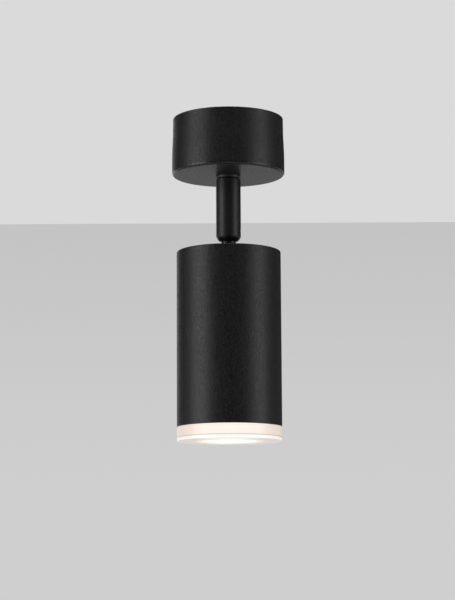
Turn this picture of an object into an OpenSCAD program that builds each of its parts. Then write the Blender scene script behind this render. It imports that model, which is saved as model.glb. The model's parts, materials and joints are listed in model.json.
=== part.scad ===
// Ceiling spotlight: a round canopy, a stem that turns under it, a tube head that tilts on the stem's end,
// and a translucent ring in the head's front. Lengths are in millimetres, z = 0 is the ceiling, -Y is the front.

/* [Canopy] */
// Outer diameter of the canopy at its lower edge
canopy_d = 65.2; // [65:0.2:80]
// How much smaller the canopy's diameter is at the ceiling
canopy_flare = 1.2; // [0:0.2:2]
// Depth at which the side starts to widen
flare_start = 5; // [2:0.5:8]
// Depth at which the side has widened fully
flare_end = 24; // [16:0.5:28]
// Height of the canopy
canopy_h = 33.3; // [31:0.1:50]
// Wall of the canopy's side
canopy_wall = 1.5; // [1.2:0.1:1.8]
// Thickness of the canopy's floor
canopy_floor = 2; // [1.5:0.1:3]
// Radius of the canopy's lower edge
canopy_edge_r = 1.3; // [0.5:0.1:1.4]

/* [Ceiling bracket] */
// Width of the strap
strap_w = 18; // [16:0.5:20]
// Thickness of the strap and its ears
strap_t = 1.5; // [1.2:0.1:2]
// Depth of the ears under the ceiling
ear_drop = 12; // [11:0.5:14]
// Width of an ear
ear_w = 12; // [10:0.5:14]
// Distance between the centres of the two ceiling slots
slot_pitch = 37; // [36:0.5:38]
// Length of a ceiling slot from end to end
slot_l = 9; // [7:0.5:10]
// Width of a ceiling slot
slot_w = 4.6; // [4:0.1:5]
// Depth of the canopy screws under the ceiling
side_screw_drop = 7; // [6:0.5:8]
// Thread diameter of the canopy screws and of the earth screw
small_screw_d = 3; // [2.5:0.1:3.2]

/* [Terminal block] */
// Distance between two poles
pole_pitch = 10; // [9:0.1:10.4]
// Radius of the plastic barrel round one pole
pole_r = 3.2; // [3:0.1:3.4]
// Length of the poles
pole_l = 16; // [14:0.5:18]
// Height of the block under the strap
block_h = 11; // [10:0.5:12]
// Outer radius of a brass sleeve
sleeve_r = 2.4; // [2.2:0.1:2.5]
// Bore radius of a brass sleeve
sleeve_bore_r = 1.4; // [1.2:0.1:1.5]
// Distance between the two screws of a pole
terminal_screw_pitch = 9; // [8:0.2:10]

/* [Swivel] */
// Thread diameter of the hollow nipple
nipple_d = 10; // [8:0.5:11]
// Bore diameter of nipple and spigot
wire_bore_d = 5; // [4:0.1:5.6]
// Diameter of the collar under the canopy
collar_d = 14.2; // [14:0.1:15]
// Height of the collar
collar_h = 1.7; // [1.5:0.1:2.5]
// Width of the collar's lower chamfer
collar_chamfer = 0.7; // [0.2:0.1:0.8]
// Height of that chamfer
collar_chamfer_h = 0.9; // [0.3:0.1:1]
// Width of the groove between collar and stem
groove_h = 0.6; // [0.4:0.1:1]
// Diameter of the washer in the groove
groove_washer_d = 12.6; // [12.2:0.1:13.8]
// Diameter of the spigot on which the stem turns
spigot_d = 8; // [7.6:0.1:8.2]
// Height of the bush in the stem's top
bush_h = 7.4; // [6:0.1:9]
// Diameter of the stop pin
stop_pin_d = 0.9; // [0.7:0.1:1]
// Across flats of the nipple nut
nipple_nut_af = 14; // [13:0.5:16]
// Height of the nipple nut
nipple_nut_h = 3.5; // [3:0.1:5]

/* [Stem] */
// Outer diameter of the stem
stem_d = 14.3; // [14:0.1:15]
// Length of the stem
stem_l = 37.4; // [36:0.1:60]
// Bore diameter of the stem
stem_bore_d = 11.2; // [11.1:0.1:11.6]
// Rounding of the stem's lower end
stem_end_r = 4.2; // [3:0.1:5]

/* [Tilt joint] */
// Height of the tilt axis above the stem's lower end
pivot_up = 7; // [6.8:0.1:8]
// Diameter of the tilt screw's shank
tilt_screw_d = 3; // [2.5:0.1:3.2]
// Diameter of the knuckle's barrel
barrel_d = 8; // [7.6:0.1:8.2]
// Width of the knuckle's barrel
barrel_w = 7.8; // [7.4:0.1:8]
// Thickness of a tilt washer
tilt_washer_t = 0.5; // [0.4:0.1:0.6]
// Diameter of the neck
neck_d = 8.5; // [8:0.1:8.6]
// Visible length of the neck between stem and head
neck_gap = 5.3; // [4.5:0.1:12]
// Thread diameter under the neck
neck_thread_d = 6; // [5:0.1:6.4]

/* [Head] */
// Outer diameter of the head
head_d = 60; // [59.6:0.1:64]
// Length of the head's tube
head_l = 100.9; // [100:0.1:130]
// Wall of the head's tube
head_wall = 1.6; // [1.2:0.1:1.8]
// Thickness of the head's closed top
head_top_t = 3; // [2:0.1:4]
// Radius of the head's upper edge
head_edge_r = 0.7; // [0.3:0.1:1.2]

/* [Lamp] */
// Gap between the lamp's front and the ring's spigot round it
lamp_gap = 1; // [0.5:0.1:1.5]
// Length of the lamp without its pins
lamp_l = 50; // [46:0.5:54]
// Diameter of the lamp's base
lamp_base_d = 19; // [18:0.5:21]
// Height of the lamp's base
lamp_base_h = 13; // [11:0.5:15]
// Depth of the lamp's front inside the head
lamp_inset = 4; // [3:0.5:5]
// Distance between the two lamp pins
pin_pitch = 10; // [9.8:0.1:10.4]
// Diameter of the lamp holder
holder_d = 26; // [25:0.5:28]
// Height of the lamp holder
holder_h = 16; // [14:0.5:18]
// Twist that frees the lamp, in degrees
twist = 25; // [20:1:30]
// Thickness of the lamp bridge
bridge_t = 1.2; // [1:0.1:1.5]
// Width of the lamp bridge
bridge_w = 16; // [14:0.5:18]
// Distance between the outer faces of the bridge's legs
bridge_span = 34; // [32:0.5:38]

/* [Front ring] */
// How far the ring's side stands back from the head's
ring_setback = 0.1; // [0:0.05:0.4]
// Visible height of the ring
ring_h = 8.3; // [7:0.1:14]
// Diameter of the ring's light opening
ring_hole_d = 30; // [26:0.5:44]
// Thickness of the ring's lower flange
ring_flange_t = 2.1; // [1.5:0.1:3]
// Wall of the spigot that goes into the head
ring_spigot_wall = 2.3; // [2.1:0.1:2.5]
// Height of the spigot that goes into the head
ring_spigot_h = 6; // [5:0.1:7]
// Thickness of the rubber ring
seal_t = 1.4; // [1.2:0.1:1.4]

/* [Leads] */
// Diameter of one insulated lead
lead_d = 1; // [0.8:0.1:1.1]

/* [Hidden] */
$fn = 96;
eps = 0.01;

// Clearances
seat_gap = 0.05;
run_gap = 0.05;
free_gap = 0.3;

// Canopy
canopy_top_r = canopy_d / 2 - canopy_flare / 2;
canopy_in_r = canopy_top_r - canopy_wall;
canopy_in_z = canopy_floor - canopy_h;
flare_steps = 10;
edge_steps = 6;

// Countersunk canopy screws
small_screw_r = small_screw_d / 2;
csk_h = small_screw_r;
csk_r = small_screw_r + csk_h;

// Bracket: the ears stand just inside the canopy's round wall
ear_x = sqrt(pow(canopy_in_r, 2) - pow(ear_w / 2, 2)) - free_gap;
ear_in_x = ear_x - strap_t;
bend_r = 1;
pan_h = 1.5;
pan_r = small_screw_r + 1.1;

// Terminal block
poles = [-1, 0, 1];
block_base_t = 2;
block_x = pole_pitch + pole_r;
pole_z = -strap_t - 1.3 - pole_r;
block_z = -strap_t - block_h;
chimney_r = pole_r - 0.5;
terminal_screw_r = 1.2;
terminal_screw_sink = 1;
terminal_slot_w = 0.5;
terminal_slot_d = 0.5;
block_screw_r = 1;
block_head_r = pole_pitch / 2 - pole_r - seat_gap;
block_head_h = 1.2;

// Earth tags
tag_t = 0.6;
tag_barrel_r = 0.9;
tag_barrel_l = 4.5;
floor_tag_turn = 40;
nipple_r = nipple_d / 2;
strap_tag_hole = small_screw_r + seat_gap;
strap_tag_r = strap_tag_hole + 1.4;
strap_tag_z = -strap_t - tag_t;
strap_barrel_z = -strap_t - tag_barrel_r;
floor_tag_hole = nipple_r + seat_gap;
floor_tag_r = floor_tag_hole + 2.2;
floor_barrel_z = canopy_in_z + tag_barrel_r;
earth_x = ear_in_x - bend_r - strap_tag_r - seat_gap;
earth_y = strap_w / 2 - strap_tag_r - free_gap;

// Stack on the nipple, upwards from the canopy's floor
lock_washer_t = 0.8;
lock_washer_r = nipple_nut_af / 2 + 1;
lock_teeth = 12;
strap_barrel_x = strap_tag_r + 0.4;
floor_barrel_x = max(floor_tag_r, lock_washer_r) + free_gap;
washer_z = canopy_in_z + tag_t;
nut_z = washer_z + lock_washer_t;
nipple_top_z = nut_z + nipple_nut_h + 1.5;

// Collar, and the stem under it
wire_bore_r = wire_bore_d / 2;
collar_r = collar_d / 2;
collar_z = -canopy_h - collar_h;
stem_r = stem_d / 2;
stem_top_z = collar_z - groove_h;
stem_z = stem_top_z - stem_l;
stem_bore_r = stem_bore_d / 2;
stem_chamfer = 0.3;

// Swivel: the bush turns on the spigot, between the collar and the nut
bush_r = stem_bore_r - seat_gap;
bush_z = stem_top_z - bush_h;
spigot_r = spigot_d / 2;
spigot_thread_r = spigot_r - 0.5;
stop_r = (spigot_r + run_gap + bush_r) / 2;
stop_groove_w = stop_pin_d + 0.2;
stop_groove_d = 0.9;
stop_lug_w = 1.2;
stop_pin_seat = 4;
spring_h = 1.4;
spring_t = 0.4;
swivel_nut_h = 2.5;
swivel_nut_top_z = bush_z - spring_h - seat_gap;
swivel_nut_z = swivel_nut_top_z - swivel_nut_h;
swivel_nut_r = stem_bore_r - free_gap;
spigot_z = swivel_nut_z - 0.5;

// Tilt joint: the slot takes the neck, the washers and the barrel
pivot_z = stem_z + pivot_up;
barrel_r = barrel_d / 2;
neck_r = neck_d / 2;
tilt_screw_r = tilt_screw_d / 2;
slot_half = max(barrel_w / 2 + tilt_washer_t + 3 * seat_gap, neck_r + free_gap);
pocket_r = barrel_r + 1.35;
chamber_z = pivot_z + pocket_r - 2;
tilt_head_r = tilt_screw_r + 1;
tilt_head_x = stem_r - 1.55;
tilt_end_x = stem_r - 0.8;
tilt_hole_x = tilt_end_x + 0.1;
tilt_cap_r = stem_r - seat_gap;
tilt_washer_r = barrel_r - 0.2;
neck_top_z = pivot_z - barrel_r - free_gap;
neck_wall = 1.3;
neck_bore_r = neck_thread_d / 2 - neck_wall;
channel_half = lead_d + 0.25;
channel_y = tilt_screw_r + 0.5;
elbow_y = neck_r - 0.75;
elbow_drop = 2.4;
elbow_rise = 1.2;
socket_af = 2;

// Head
head_r = head_d / 2;
head_in_r = head_r - head_wall;
head_top_z = stem_z - neck_gap;
head_z = head_top_z - head_l;
head_lip = 0.3;
neck_thread_r = neck_thread_d / 2;
top_in_z = head_top_z - head_top_t;
knuckle_washer_t = 1;
knuckle_washer_w = 3;
knuckle_washer_r = neck_thread_r + knuckle_washer_w;
knuckle_nut_h = 4.5;
knuckle_nut_w = 2.6;
knuckle_nut_r = neck_thread_r + knuckle_nut_w;
bridge_top_z = top_in_z - bridge_t;
knuckle_washer_z = bridge_top_z - knuckle_washer_t;
knuckle_nut_z = knuckle_washer_z - knuckle_nut_h;
neck_end_z = knuckle_nut_z - 1.5;

// Radii of the front ring, from the head's
ring_r = head_r - ring_setback;
ring_spigot_r = head_in_r - 2 * seat_gap;
ring_hollow_r = ring_spigot_r - ring_spigot_wall;

// Lamp: the pins' heads hang behind the holder's face plate
lamp_r = ring_hollow_r - lamp_gap;
lamp_z = head_z + lamp_inset;
lamp_base_z = lamp_z + lamp_l;
lamp_base_r = lamp_base_d / 2;
lamp_rim_h = 4;
lamp_steps = 12;
lens_r = lamp_r - 2.5;
lens_t = 2;
lens_inset = 0.3;
pin_neck_r = 1.25;
pin_head_r = 2.4;
pin_head_h = 2.5;
face_t = 3;
holder_z = lamp_base_z + free_gap;
face_z = holder_z + face_t;
pin_head_z = face_z + 0.2;
holder_r = holder_d / 2;
holder_top_z = holder_z + holder_h;
cavity_h = pin_head_h + 0.8;
foot_x = 6;
holder_screw_x = holder_r - 3.6;
holder_screw_r = 1.25;
holder_head_r = 2.3;
holder_head_h = 1.6;
screw_sink = 2;

// Heights of the front ring
ring_gap = 0.2;
ring_top_z = head_z - ring_gap;
ring_z = head_z - ring_h;
ring_hole_r = ring_hole_d / 2;
ring_edge = 0.4;
seal_r = seal_t / 2;
seal_groove_r = head_in_r - seal_t - 2 * seat_gap;
seal_z = head_z + ring_spigot_h / 2;

// Points on a round corner in a profile
function corner(c, r, a0, a1, n) = [for (i = [0:n]) c + r * [cos(a0 + (a1 - a0) * i / n), sin(a0 + (a1 - a0) * i / n)]];

// A soft step from 0 to 1
function ease(t) = t * t * (3 - 2 * t);

// The canopy's outer radius at a depth under the ceiling
function canopy_r(depth) =
    canopy_top_r + canopy_flare / 2 * ease(min(1, max(0, (depth - flare_start) / (flare_end - flare_start))));

// A smooth curve between two points, pulled towards two others
function bend_point(p, t) =
    pow(1 - t, 3) * p[0] + 3 * t * pow(1 - t, 2) * p[1] + 3 * t * t * (1 - t) * p[2] + pow(t, 3) * p[3];
function bend(p, n) = [for (i = [0:n]) bend_point(p, i / n)];

function unit(v) = v / norm(v);

// A round lead along a list of points: one ring of points at each, square to the path
module lead(path, r, sides = 8) {
    side_hint = [0.3, 1, 0.2];
    last = len(path) - 1;
    rings = [for (i = [0:last])
        let (along = unit(path[min(last, i + 1)] - path[max(0, i - 1)]))
        let (u = unit(cross(along, side_hint)))
        let (v = cross(along, u))
        for (k = [0:sides - 1]) path[i] + r * (cos(360 * k / sides) * u + sin(360 * k / sides) * v)];
    walls = [for (i = [0:last - 1], k = [0:sides - 1])
        let (a = i * sides + k)
        let (b = i * sides + (k + 1) % sides)
        each [[a, b, b + sides], [a, b + sides, a + sides]]];
    start_cap = [for (k = [1:sides - 2]) [0, k + 1, k]];
    end_cap = [for (k = [1:sides - 2]) [last * sides, last * sides + k, last * sides + k + 1]];
    polyhedron(points = rings, faces = concat(walls, start_cap, end_cap));
}

// A cylinder along X from x0 to x1
module bar_x(x0, x1, r) {
    translate([x0, 0, 0]) rotate([0, 90, 0]) cylinder(h = x1 - x0, r = r);
}

// A cylinder along Z from z0 up to z1
module bar_z(z0, z1, r) {
    translate([0, 0, z0]) cylinder(h = z1 - z0, r = r);
}

// A block centred on X and Y, from z0 up to z1
module block_z(w, d, z0, z1) {
    translate([-w / 2, -d / 2, z0]) cube([w, d, z1 - z0]);
}

// A flat ring from z0 up to z1
module ring_z(z0, z1, r_out, r_in) {
    difference() {
        bar_z(z0, z1, r_out);
        bar_z(z0 - eps, z1 + eps, r_in);
    }
}

// A hexagonal nut from z0 up to z1, with its bore
module hex_nut(z0, z1, r_corner, r_bore) {
    difference() {
        translate([0, 0, z0]) cylinder(h = z1 - z0, r = r_corner, $fn = 6);
        bar_z(z0 - eps, z1 + eps, r_bore);
    }
}

// A slot through a plate, along X
module slot_cut(length, width, z0, z1) {
    reach = (length - width) / 2;
    for (s = [-1, 1]) translate([s * reach, 0, 0]) bar_z(z0, z1, width / 2);
    block_z(2 * reach, width, z0, z1);
}

module both_sides() {
    children();
    mirror([1, 0, 0]) children();
}

// Ceiling bracket: a bent strap with an ear at each end
module strap_profile() {
    n = edge_steps;
    outer = corner([ear_x - bend_r - strap_t, -bend_r - strap_t], bend_r + strap_t, 90, 0, n);
    inner = corner([ear_x - bend_r - strap_t, -bend_r - strap_t], bend_r, 0, 90, n);
    polygon(concat([[0, 0]], outer, [[ear_x, -ear_drop], [ear_in_x, -ear_drop]], inner, [[0, -strap_t]]));
}

module strap_half() {
    intersection() {
        translate([0, strap_w / 2, 0]) rotate([90, 0, 0]) linear_extrude(strap_w) strap_profile();
        bar_z(-ear_drop - eps, eps, canopy_in_r - free_gap);
        union() {
            block_z(2 * canopy_d, strap_w, -strap_t, eps);
            block_z(2 * canopy_d, ear_w, -ear_drop - eps, 0);
        }
    }
}

module ceiling_bracket() {
    color("silver") difference() {
        union() {
            strap_half();
            mirror([1, 0, 0]) strap_half();
        }
        both_sides() translate([slot_pitch / 2, 0, 0]) slot_cut(slot_l, slot_w, -strap_t - eps, eps);
        both_sides() translate([0, 0, -side_screw_drop]) bar_x(ear_in_x - eps, ear_x + eps, small_screw_r + seat_gap);
        translate([earth_x, earth_y, 0]) bar_z(-strap_t - eps, eps, small_screw_r + seat_gap);
        translate([pole_pitch / 2, 0, 0]) bar_z(-strap_t - eps, eps, block_screw_r + seat_gap);
    }
}

// Canopy: a drawn cup whose side widens softly towards its lower edge
module canopy_profile() {
    step = flare_end / flare_steps;
    side = [for (i = [0:flare_steps]) [canopy_r(i * step), -i * step]];
    bottom_r = canopy_r(canopy_h);
    edge = corner([bottom_r - canopy_edge_r, canopy_edge_r - canopy_h], canopy_edge_r, 0, -90, edge_steps);
    hole_r = nipple_r + 2 * seat_gap;
    polygon(concat(side, edge,
        [[hole_r, -canopy_h], [hole_r, canopy_in_z], [canopy_in_r, canopy_in_z], [canopy_in_r, 0]]));
}

module countersink(gap) {
    face_x = canopy_r(side_screw_drop);
    translate([face_x - csk_h, 0, -side_screw_drop]) rotate([0, 90, 0])
        cylinder(h = csk_h, r1 = small_screw_r + gap, r2 = csk_r + gap);
}

module canopy_cup() {
    color("#232323") difference() {
        rotate_extrude() canopy_profile();
        both_sides() {
            countersink(seat_gap);
            translate([0, 0, -side_screw_drop]) {
                bar_x(canopy_in_r - 1, canopy_top_r, small_screw_r + 2 * seat_gap);
                bar_x(canopy_r(side_screw_drop) - eps, canopy_d, csk_r + seat_gap);
            }
        }
    }
}

module canopy_screws() {
    face_x = canopy_r(side_screw_drop);
    color("#303030") both_sides() difference() {
        union() {
            countersink(0);
            translate([0, 0, -side_screw_drop]) bar_x(ear_in_x - 1.5, face_x - csk_h + eps, small_screw_r);
        }
        translate([face_x - 1, 0, -side_screw_drop]) rotate([0, 90, 0]) cylinder(h = 2, d = socket_af, $fn = 6);
    }
}

// Earth: a pan screw in the strap, a tag under it, a lead, and a tag under the nipple nut
module earth_screw() {
    head_z = -strap_t - tag_t;
    color("goldenrod") translate([earth_x, earth_y, 0]) difference() {
        union() {
            bar_z(head_z, -free_gap, small_screw_r);
            bar_z(head_z - pan_h, head_z, pan_r);
        }
        block_z(2 * pan_r + 1, 0.8, head_z - pan_h - eps, head_z - pan_h + 0.7);
    }
}

// A ring terminal in the plane z0 to z0 + tag_t, its crimped barrel pointing along +X
module tag(z0, hole_r, outer_r, barrel_x, barrel_z) {
    difference() {
        union() {
            bar_z(z0, z0 + tag_t, outer_r);
            translate([0, -tag_barrel_r, z0]) cube([barrel_x + 0.5, 2 * tag_barrel_r, tag_t]);
            translate([0, 0, barrel_z]) bar_x(barrel_x, barrel_x + tag_barrel_l, tag_barrel_r);
        }
        bar_z(z0 - 1, z0 + tag_t + 1, hole_r);
        translate([0, 0, barrel_z]) bar_x(barrel_x + 1, barrel_x + tag_barrel_l + 1, lead_d / 2 + seat_gap);
    }
}

module earth_tags() {
    color("lightgray") {
        translate([earth_x, earth_y, 0]) rotate([0, 0, 90])
            tag(strap_tag_z, strap_tag_hole, strap_tag_r, strap_barrel_x, strap_barrel_z);
        rotate([0, 0, floor_tag_turn]) tag(canopy_in_z, floor_tag_hole, floor_tag_r, floor_barrel_x, floor_barrel_z);
    }
}

module earth_lead() {
    out = [cos(floor_tag_turn), sin(floor_tag_turn), 0];
    start = [earth_x, earth_y + strap_barrel_x + 1.5, strap_barrel_z];
    finish = (floor_barrel_x + 1.5) * out + [0, 0, floor_barrel_z];
    p0 = start + [0, tag_barrel_l - 1.3, 0];
    p3 = finish + (tag_barrel_l - 1.3) * out;
    curve = bend([p0, p0 + [0, 3, 0], p3 + 9 * out, p3], 14);
    color("yellowgreen") lead(concat([start], curve, [finish]), lead_d / 2);
}

// Terminal block: three barrels on a base, each with two screw chimneys
module terminal_block() {
    color("white") difference() {
        union() {
            block_z(2 * block_x, pole_l - 4, -strap_t - block_base_t, -strap_t);
            for (i = poles) translate([i * pole_pitch, 0, 0]) {
                translate([0, pole_l / 2, pole_z]) rotate([90, 0, 0]) cylinder(h = pole_l, r = pole_r);
                for (s = [-1, 1]) translate([0, s * terminal_screw_pitch / 2, 0]) bar_z(block_z, pole_z, chimney_r);
            }
        }
        for (i = poles) translate([i * pole_pitch, 0, 0]) {
            translate([0, pole_l / 2 + 1, pole_z]) rotate([90, 0, 0]) cylinder(h = pole_l + 2, r = sleeve_r + seat_gap);
            for (s = [-1, 1]) translate([0, s * terminal_screw_pitch / 2, 0])
                bar_z(block_z - 1, pole_z, terminal_screw_r + 2 * seat_gap);
        }
        translate([pole_pitch / 2, 0, 0]) bar_z(block_z, 1, block_screw_r + seat_gap);
    }
}

module terminal_sleeves() {
    sleeve_l = pole_l - 2;
    color("goldenrod") for (i = poles) translate([i * pole_pitch, 0, 0]) difference() {
        translate([0, sleeve_l / 2, pole_z]) rotate([90, 0, 0]) cylinder(h = sleeve_l, r = sleeve_r);
        translate([0, pole_l, pole_z]) rotate([90, 0, 0]) cylinder(h = 2 * pole_l, r = sleeve_bore_r);
        for (s = [-1, 1]) translate([0, s * terminal_screw_pitch / 2, 0])
            bar_z(block_z, pole_z, terminal_screw_r + seat_gap);
    }
}

module terminal_screws() {
    tip_z = pole_z - lead_d / 2 - seat_gap;
    end_z = block_z + terminal_screw_sink;
    color("silver") for (i = poles, s = [-1, 1]) translate([i * pole_pitch, s * terminal_screw_pitch / 2, 0]) difference() {
        bar_z(end_z, tip_z, terminal_screw_r);
        block_z(3 * terminal_screw_r, terminal_slot_w, block_z, end_z + terminal_slot_d);
    }
}

module block_screw() {
    head_top = -strap_t - block_base_t;
    color("silver") translate([pole_pitch / 2, 0, 0]) {
        bar_z(head_top, -free_gap, block_screw_r);
        bar_z(head_top - block_head_h, head_top, block_head_r);
    }
}

// Leads from the block's two outer poles into the nipple, and down through the spigot
lead_x = 0.75;
module canopy_leads() {
    color("white") for (s = [-1, 1]) {
        p0 = [s * pole_pitch, pole_l / 2, pole_z];
        p3 = [s * lead_x, 0, nipple_top_z];
        curve = bend([p0, p0 + [0, 8, 0], p3 + [0, 0, 8], p3], 14);
        lead(concat([[s * pole_pitch, terminal_screw_pitch / 2 - 2, pole_z]], curve, [[s * lead_x, 0, spigot_z]]),
            lead_d / 2);
    }
}

module nipple_nut() {
    color("silver") hex_nut(nut_z, nut_z + nipple_nut_h, nipple_nut_af / sqrt(3), nipple_r + seat_gap);
}

module lock_washer() {
    color("silver") difference() {
        ring_z(washer_z, nut_z, lock_washer_r, nipple_r + seat_gap);
        for (i = [0:lock_teeth - 1]) rotate([0, 0, 360 * (i + 0.5) / lock_teeth]) translate([lock_washer_r, 0, 0])
            bar_z(washer_z - 1, nut_z + 1, 0.8);
    }
}

// Swivel collar: hollow nipple above, spigot below, and an arc groove for the stop pin
module collar_profile() {
    polygon([
        [wire_bore_r, nipple_top_z], [nipple_r - 0.5, nipple_top_z], [nipple_r, nipple_top_z - 0.5],
        [nipple_r, -canopy_h], [collar_r, -canopy_h], [collar_r, collar_z + collar_chamfer_h],
        [collar_r - collar_chamfer, collar_z], [spigot_r, collar_z], [spigot_r, swivel_nut_top_z],
        [spigot_thread_r, swivel_nut_top_z], [spigot_thread_r, spigot_z], [wire_bore_r, spigot_z]]);
}

module swivel_collar() {
    color("#232323") difference() {
        rotate_extrude() collar_profile();
        difference() {
            ring_z(collar_z - eps, collar_z + stop_groove_d, stop_r + stop_groove_w / 2, stop_r - stop_groove_w / 2);
            translate([-stop_lug_w / 2, -collar_r, collar_z - 1]) cube([stop_lug_w, collar_r, stop_groove_d + 2]);
        }
    }
}

module swivel_nut() {
    color("goldenrod") hex_nut(swivel_nut_z, swivel_nut_top_z, swivel_nut_r, spigot_thread_r + seat_gap);
}

// Stem: a tube with a rounded lower end, milled for the knuckle
module stem_tube() {
    color("#232323") difference() {
        rotate_extrude() polygon(concat(
            [[0, stem_top_z], [stem_r - stem_chamfer, stem_top_z], [stem_r, stem_top_z - stem_chamfer]],
            corner([stem_r - stem_end_r, stem_z + stem_end_r], stem_end_r, 0, -90, 12), [[0, stem_z]]));
        bar_z(chamber_z, stem_top_z + 1, stem_bore_r);
        translate([0, 0, pivot_z]) {
            bar_x(-slot_half, slot_half, pocket_r);
            rotate([-90, 0, 0]) cylinder(h = stem_d, r = slot_half);
            bar_x(-tilt_hole_x, stem_r, tilt_screw_r + seat_gap);
            bar_x(tilt_head_x, stem_r + 1, tilt_head_r + seat_gap);
        }
        bar_z(stem_z - 1, pivot_z, slot_half);
        translate([-slot_half, 0, stem_z - 1]) cube([2 * slot_half, stem_d, pivot_up + 1]);
    }
}

module swivel_bush() {
    color("goldenrod") difference() {
        ring_z(bush_z, stem_top_z, bush_r, spigot_r + run_gap);
        translate([0, stop_r, 0]) bar_z(stem_top_z - stop_pin_seat, stem_top_z + 1, stop_pin_d / 2);
    }
}

module stop_pin() {
    color("silver") translate([0, stop_r, 0]) bar_z(stem_top_z - stop_pin_seat, collar_z + stop_groove_d - free_gap, stop_pin_d / 2 - eps);
}

module groove_washer() {
    color("#151515") ring_z(stem_top_z, collar_z - 0.1, groove_washer_d / 2, stem_bore_r + 0.1);
}

// A coned spring washer between the bush and the nut
module disc_spring() {
    hub_r = spigot_r + run_gap;
    rim_r = bush_r - free_gap;
    color("silver") rotate_extrude() polygon([
        [hub_r, bush_z - spring_h], [hub_r, bush_z - spring_h + spring_t],
        [rim_r, bush_z], [rim_r, bush_z - spring_t]]);
}

module stem_leads() {
    color("white") for (s = [-1, 1]) {
        p0 = [s * lead_x, 0, spigot_z - free_gap];
        p3 = [s * lead_x * 0.85, -channel_y - lead_d / 2 - 0.2, pivot_z + barrel_r + 2 * free_gap];
        lead(bend([p0, [p0[0], p0[1], (p0[2] + p3[2]) / 2], [p3[0], p3[1], (p0[2] + p3[2]) / 2], p3], 10), lead_d / 2);
    }
}

module tilt_screw() {
    color("#303030") translate([0, 0, pivot_z]) difference() {
        union() {
            bar_x(-tilt_end_x, tilt_head_x + eps, tilt_screw_r);
            intersection() {
                bar_x(tilt_head_x, stem_r, tilt_head_r);
                bar_z(-tilt_head_r - 1, tilt_head_r + 1, tilt_cap_r);
            }
        }
        translate([tilt_head_x + 0.4, 0, 0]) rotate([0, 90, 0]) cylinder(h = 2, d = socket_af, $fn = 6);
    }
}

module tilt_washers() {
    x1 = slot_half - seat_gap;
    color("silver") both_sides() translate([0, 0, pivot_z]) difference() {
        bar_x(x1 - tilt_washer_t, x1, tilt_washer_r);
        bar_x(0, stem_d, tilt_screw_r + seat_gap);
    }
}

// Knuckle: barrel, flat tongue, round neck and threaded end, hollow for the leads
module tilt_knuckle() {
    color("#232323") difference() {
        union() {
            translate([0, 0, pivot_z]) bar_x(-barrel_w / 2, barrel_w / 2, barrel_r);
            intersection() {
                block_z(barrel_w, neck_d, neck_top_z - eps, pivot_z);
                bar_z(neck_top_z - eps, pivot_z, neck_r);
            }
            bar_z(head_top_z, neck_top_z, neck_r);
            bar_z(neck_end_z, head_top_z + eps, neck_thread_r);
        }
        translate([0, 0, pivot_z]) bar_x(-stem_d, stem_d, tilt_screw_r + run_gap);
        bar_z(neck_end_z - 1, neck_top_z, neck_bore_r);
        translate([-channel_half, -barrel_r - 1, neck_top_z - 0.1])
            cube([2 * channel_half, barrel_r + 1 - channel_y, stem_d]);
        translate([-channel_half, -elbow_y, neck_top_z - elbow_drop]) cube([2 * channel_half, elbow_y, elbow_drop + elbow_rise]);
    }
}

// Head: a tube closed at the top, open below
module head_housing() {
    top = corner([head_r - head_edge_r, head_top_z - head_edge_r], head_edge_r, 90, 0, edge_steps);
    hole_r = neck_thread_r + seat_gap;
    color("#232323") rotate_extrude() polygon(concat([[hole_r, head_top_z]], top,
        [[head_r, head_z + head_lip], [head_r - head_lip, head_z], [head_in_r, head_z], [head_in_r, top_in_z],
        [hole_r, top_in_z]]));
}

module knuckle_washer() {
    color("silver") ring_z(knuckle_washer_z, bridge_top_z, knuckle_washer_r, neck_thread_r + seat_gap);
}

module knuckle_nut() {
    color("silver") hex_nut(knuckle_nut_z, knuckle_washer_z, knuckle_nut_r, neck_thread_r + seat_gap);
}

// Lamp bridge: a bent strap from under the head's top down to the lamp holder
module lamp_bridge() {
    half = bridge_span / 2;
    foot_z = holder_top_z + bridge_t;
    n = edge_steps;
    outer_r = bridge_t + 0.6;
    half_profile = concat(
        [[0, top_in_z]],
        corner([half - outer_r, top_in_z - outer_r], outer_r, 90, 0, n),
        corner([half - outer_r, holder_top_z + outer_r], outer_r, 0, -90, n),
        [[foot_x, holder_top_z], [foot_x, foot_z]],
        corner([half - outer_r, holder_top_z + outer_r], outer_r - bridge_t, -90, 0, n),
        corner([half - outer_r, top_in_z - outer_r], outer_r - bridge_t, 0, 90, n),
        [[0, bridge_top_z]]);
    color("silver") difference() {
        both_sides() translate([0, bridge_w / 2, 0]) rotate([90, 0, 0]) linear_extrude(bridge_w) polygon(half_profile);
        bar_z(bridge_top_z - 1, top_in_z + 1, neck_thread_r + seat_gap);
        both_sides() translate([holder_screw_x, 0, 0]) bar_z(holder_top_z - 1, foot_z + 1, holder_screw_r + seat_gap);
    }
}

// An arc slot for one lamp pin, from the seated place at angle 0 to the free place at the twist
module arc_slot(z0, z1, half_w) {
    far = pin_pitch;
    for (turn = [0, twist]) rotate([0, 0, turn]) translate([pin_pitch / 2, 0, 0]) bar_z(z0, z1, half_w);
    band_w = half_w - seat_gap;
    intersection() {
        ring_z(z0, z1, pin_pitch / 2 + band_w, pin_pitch / 2 - band_w);
        translate([0, 0, z0]) linear_extrude(z1 - z0)
            polygon([[0, 0], [far, 0], [far, far * tan(twist / 2)], [far * cos(twist), far * sin(twist)]]);
    }
}

module both_pins() {
    for (turn = [90, 270]) rotate([0, 0, turn]) children();
}

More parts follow.
